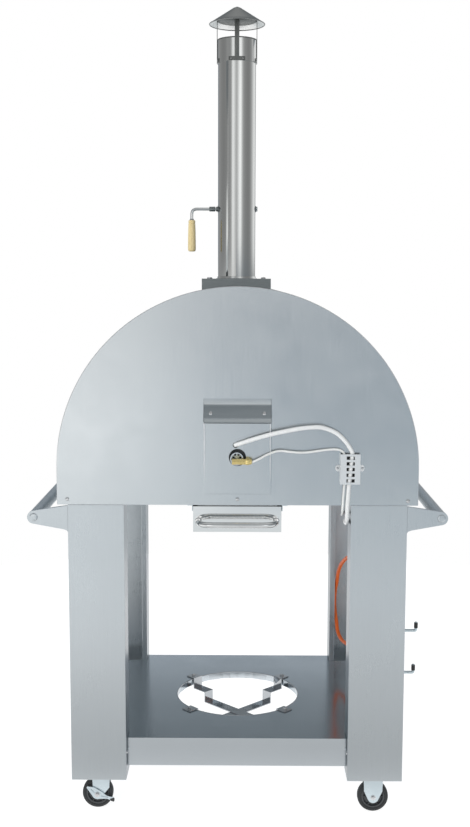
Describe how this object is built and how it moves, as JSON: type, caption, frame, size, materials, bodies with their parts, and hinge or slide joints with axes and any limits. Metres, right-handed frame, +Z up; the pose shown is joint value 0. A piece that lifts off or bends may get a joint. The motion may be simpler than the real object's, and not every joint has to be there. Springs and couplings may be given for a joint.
{
  "type": "pizza oven on a cart",
  "caption": "Free-standing barrel-roofed oven on a cart with castors, chimney with cap and damper, drawer, gas burner, shelf for a gas bottle, push bars and lift-off door.",
  "frame": {"origin": "on the floor under the middle of the object's box", "axes": "+Z up; +Y out of the oven's mouth, -Y out of its back, +X to the right as seen from behind"},
  "size_m": [0.985, 0.81, 1.9935],
  "materials": {
    "panel_steel": "satin sheet, fine vertical grain",
    "flue_steel": "bright-rolled sheet, slightly dull",
    "bright_steel": "polished",
    "zinc_steel": "bright zinc plate, bluish",
    "hearth_stone": "unglazed firebrick, matte",
    "insulation": "ceramic fibre, matte",
    "pale_wood": "clear satin lacquer",
    "black_rubber": "satin",
    "black_plastic": "moulded satin",
    "black_paint": "black powder coat",
    "brass": "turned, satin",
    "white_sleeve": "woven white sleeve",
    "orange_hose": "smooth satin",
    "regulator_metal": "cast, grey"
  },
  "bodies": {
    "cart": {"outer_shell": "panel_steel", "rear_panel": "panel_steel", "front_panel": "panel_steel", "base_pan": "panel_steel", "landing_shelf": "panel_steel", "access_cover": "panel_steel", "burner_hood": "panel_steel", "leg_rear_left": "panel_steel", "leg_rear_right": "panel_steel", "leg_front_left": "panel_steel", "leg_front_right": "panel_steel", "bottom_shelf": "panel_steel", "chimney_base": "flue_steel", "chimney_pipe": "flue_steel", "cap_frame": "flue_steel", "cap_cone": "flue_steel", "inner_vault": "flue_steel", "burner_tube": "bright_steel", "push_bar_left": "bright_steel", "push_bar_right": "bright_steel", "line_cover": "bright_steel", "gas_tube": "bright_steel", "bottle_cradle": "bright_steel", "castor_fork_rear_right": "zinc_steel", "castor_fork_front_right": "zinc_steel", "drawer_frame": "zinc_steel", "hearth_tile_left": "hearth_stone", "hearth_tile_right": "hearth_stone", "hearth_threshold": "hearth_stone", "insulation_blanket": "insulation", "rear_slab": "insulation", "mouth_arch": "insulation", "floor_insulation": "insulation", "tool_hook_upper": "black_paint", "tool_hook_lower": "black_paint", "valve_casing": "black_paint", "gas_fitting": "brass", "hose_elbow": "brass", "ignition_sleeve": "white_sleeve", "gas_hose": "orange_hose", "hose_regulator": "regulator_metal"},
    "door": {"door_panel": "panel_steel", "door_bracket": "bright_steel", "door_grip": "pale_wood", "door_thermometer": "bright_steel"},
    "drawer": {"drawer_tray": "panel_steel", "drawer_handle": "bright_steel"},
    "damper": {"damper_rod": "bright_steel", "damper_plate": "flue_steel", "damper_grip": "pale_wood"},
    "knob": {"gas_knob": "black_plastic"},
    "button": {"igniter_button": "black_plastic"},
    "fork_rear_left": {"castor_fork_rear_left": "zinc_steel"},
    "fork_front_left": {"castor_fork_front_left": "zinc_steel"},
    "wheel_rear_left": {"castor_wheel_rear_left": "black_rubber"},
    "wheel_front_left": {"castor_wheel_front_left": "black_rubber"},
    "wheel_rear_right": {"castor_wheel_rear_right": "black_rubber"},
    "wheel_front_right": {"castor_wheel_front_right": "black_rubber"},
    "lever_rear_left": {"brake_lever_rear_left": "zinc_steel"},
    "lever_front_left": {"brake_lever_front_left": "zinc_steel"}
  },
  "joints": [
    {"name": "door_slide", "type": "slide", "parent": "cart", "child": "door", "axis": [0, 1, 0], "range_m": [0, 0.12]},
    {"name": "drawer_slide", "type": "slide", "parent": "cart", "child": "drawer", "axis": [0, -1, 0], "range_m": [0, 0.24]},
    {"name": "damper_turn", "type": "hinge", "parent": "cart", "child": "damper", "pos_m": [-0.006, 0.107, 1.473], "axis": [1, 0, 0], "range_deg": [0, 90]},
    {"name": "knob_turn", "type": "hinge", "parent": "cart", "child": "knob", "pos_m": [0.3925, -0.198, 0.71], "axis": [1, 0, 0], "range_deg": [0, 180]},
    {"name": "igniter_press", "type": "slide", "parent": "cart", "child": "button", "axis": [-1, 0, 0], "range_m": [0, 0.004], "stiffness_N_per_m": 400},
    {"name": "castor_swivel_rear_left", "type": "hinge", "parent": "cart", "child": "fork_rear_left", "pos_m": [-0.3312, -0.298, 0.088], "axis": [0, 0, 1], "continuous": true},
    {"name": "wheel_spin_rear_left", "type": "hinge", "parent": "fork_rear_left", "child": "wheel_rear_left", "pos_m": [-0.3402, -0.298, 0.0375], "axis": [0, 1, 0], "continuous": true},
    {"name": "brake_lever_rear_left", "type": "hinge", "parent": "fork_rear_left", "child": "lever_rear_left", "pos_m": [-0.3402, -0.298, 0.0375], "axis": [0, 1, 0], "range_deg": [-20, 0]},
    {"name": "castor_swivel_front_left", "type": "hinge", "parent": "cart", "child": "fork_front_left", "pos_m": [-0.3312, 0.27, 0.088], "axis": [0, 0, 1], "continuous": true},
    {"name": "wheel_spin_front_left", "type": "hinge", "parent": "fork_front_left", "child": "wheel_front_left", "pos_m": [-0.3402, 0.27, 0.0375], "axis": [0, 1, 0], "continuous": true},
    {"name": "brake_lever_front_left", "type": "hinge", "parent": "fork_front_left", "child": "lever_front_left", "pos_m": [-0.3402, 0.27, 0.0375], "axis": [0, 1, 0], "range_deg": [-20, 0]},
    {"name": "wheel_spin_rear_right", "type": "hinge", "parent": "cart", "child": "wheel_rear_right", "pos_m": [0.3312, -0.3105, 0.0375], "axis": [0, 1, 0], "continuous": true},
    {"name": "wheel_spin_front_right", "type": "hinge", "parent": "cart", "child": "wheel_front_right", "pos_m": [0.3312, 0.2825, 0.0375], "axis": [0, 1, 0], "continuous": true}
  ]
}
